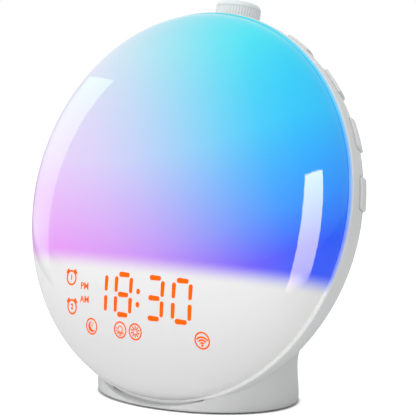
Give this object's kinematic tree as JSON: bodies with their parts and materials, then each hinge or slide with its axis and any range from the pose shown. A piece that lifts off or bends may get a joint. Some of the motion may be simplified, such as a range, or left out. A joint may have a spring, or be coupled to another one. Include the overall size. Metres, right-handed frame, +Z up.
{
  "type": "sunrise alarm clock",
  "caption": "Round domed wake-up light with a clock display behind its opal face, on an oval foot, with side buttons and a turn-and-press knob on top.",
  "frame": {"origin": "on the table, under the middle of the clock's box", "axes": "+Z up, +X to the right as seen from the front, the lit face looks towards -Y and leans back by 14 degrees"},
  "size_m": [0.1802, 0.0862, 0.1821],
  "materials": {
    "opal": "glossy opal acrylic",
    "white_shell": "satin white moulding",
    "white_knob": "satin white moulding",
    "white_key": "satin white moulding",
    "grey_rubber": "soft dark grey",
    "tray_white": "matt white reflector",
    "board_white": "white solder mask",
    "board_green": "green solder mask",
    "led": "light package",
    "block_white": "matt white",
    "amber_light": "lit amber windows",
    "dark_parts": "black electronic parts",
    "steel": "bright plated steel",
    "encoder_black": "black moulding",
    "speaker_black": "black painted basket",
    "paper_black": "treated paper cone"
  },
  "bodies": {
    "housing": {"front_diffuser": "opal", "rear_housing": "white_shell", "bottom_cover": "white_shell", "rubber_feet": "grey_rubber", "inner_frame": "tray_white", "light_board": "board_white", "display_board": "board_green", "main_board": "board_green", "encoder_board": "board_green", "right_switch_board": "board_green", "left_switch_board": "board_green", "leds": "led", "display_block": "block_white", "display_windows": "amber_light", "board_parts": "dark_parts", "right_switches": "dark_parts", "left_switches": "dark_parts", "power_jack": "dark_parts", "battery_holder": "dark_parts", "radio_module": "steel", "usb_socket": "steel", "encoder_nut": "steel", "coin_cell": "steel", "battery_contact": "steel", "speaker_magnet": "steel", "cover_screws": "steel", "frame_screws": "steel", "switch_board_screws": "steel", "display_screws": "steel", "main_board_screws": "steel", "speaker_screws": "steel", "light_board_screws": "steel", "encoder_body": "encoder_black", "speaker_basket": "speaker_black", "speaker_cone": "paper_black"},
    "encoder_plunger": {"encoder_plunger": "encoder_black"},
    "knob": {"knob": "white_knob", "encoder_shaft": "steel"},
    "battery_door": {"battery_door": "white_shell"},
    "right_button_1": {"right_button_1": "white_key"},
    "right_button_2": {"right_button_2": "white_key"},
    "right_button_3": {"right_button_3": "white_key"},
    "right_button_4": {"right_button_4": "white_key"},
    "left_button_1": {"left_button_1": "white_key"},
    "left_button_2": {"left_button_2": "white_key"},
    "left_button_3": {"left_button_3": "white_key"},
    "left_button_4": {"left_button_4": "white_key"}
  },
  "joints": [
    {"name": "knob_press", "type": "slide", "parent": "housing", "child": "encoder_plunger", "axis": [0, -0.2419, -0.9703], "range_m": [0, 0.0008], "stiffness_N_per_m": 100, "springref_m": -0.002},
    {"name": "knob_turn", "type": "hinge", "parent": "encoder_plunger", "child": "knob", "pos_m": [0, 0.03161, 0.17175], "axis": [0, 0.2419, 0.9703], "continuous": true},
    {"name": "battery_door_turn", "type": "hinge", "parent": "housing", "child": "battery_door", "pos_m": [0, 0.0125, 0.0005], "axis": [0, 0, 1], "range_deg": [0, 45]},
    {"name": "right_button_1_press", "type": "slide", "parent": "housing", "child": "right_button_1", "axis": [-0.4924, -0.2106, -0.8445], "range_m": [0, 0.0006], "stiffness_N_per_m": 80, "springref_m": -0.001},
    {"name": "right_button_2_press", "type": "slide", "parent": "housing", "child": "right_button_2", "axis": [-0.7314, -0.165, -0.6617], "range_m": [0, 0.0006], "stiffness_N_per_m": 80, "springref_m": -0.001},
    {"name": "right_button_3_press", "type": "slide", "parent": "housing", "child": "right_button_3", "axis": [-0.9026, -0.1042, -0.4177], "range_m": [0, 0.0006], "stiffness_N_per_m": 80, "springref_m": -0.001},
    {"name": "right_button_4_press", "type": "slide", "parent": "housing", "child": "right_button_4", "axis": [-0.9903, -0.0337, -0.135], "range_m": [0, 0.0006], "stiffness_N_per_m": 80, "springref_m": -0.001},
    {"name": "left_button_1_press", "type": "slide", "parent": "housing", "child": "left_button_1", "axis": [0.4924, -0.2106, -0.8445], "range_m": [0, 0.0006], "stiffness_N_per_m": 80, "springref_m": -0.001},
    {"name": "left_button_2_press", "type": "slide", "parent": "housing", "child": "left_button_2", "axis": [0.7314, -0.165, -0.6617], "range_m": [0, 0.0006], "stiffness_N_per_m": 80, "springref_m": -0.001},
    {"name": "left_button_3_press", "type": "slide", "parent": "housing", "child": "left_button_3", "axis": [0.9026, -0.1042, -0.4177], "range_m": [0, 0.0006], "stiffness_N_per_m": 80, "springref_m": -0.001},
    {"name": "left_button_4_press", "type": "slide", "parent": "housing", "child": "left_button_4", "axis": [0.9903, -0.0337, -0.135], "range_m": [0, 0.0006], "stiffness_N_per_m": 80, "springref_m": -0.001}
  ]
}
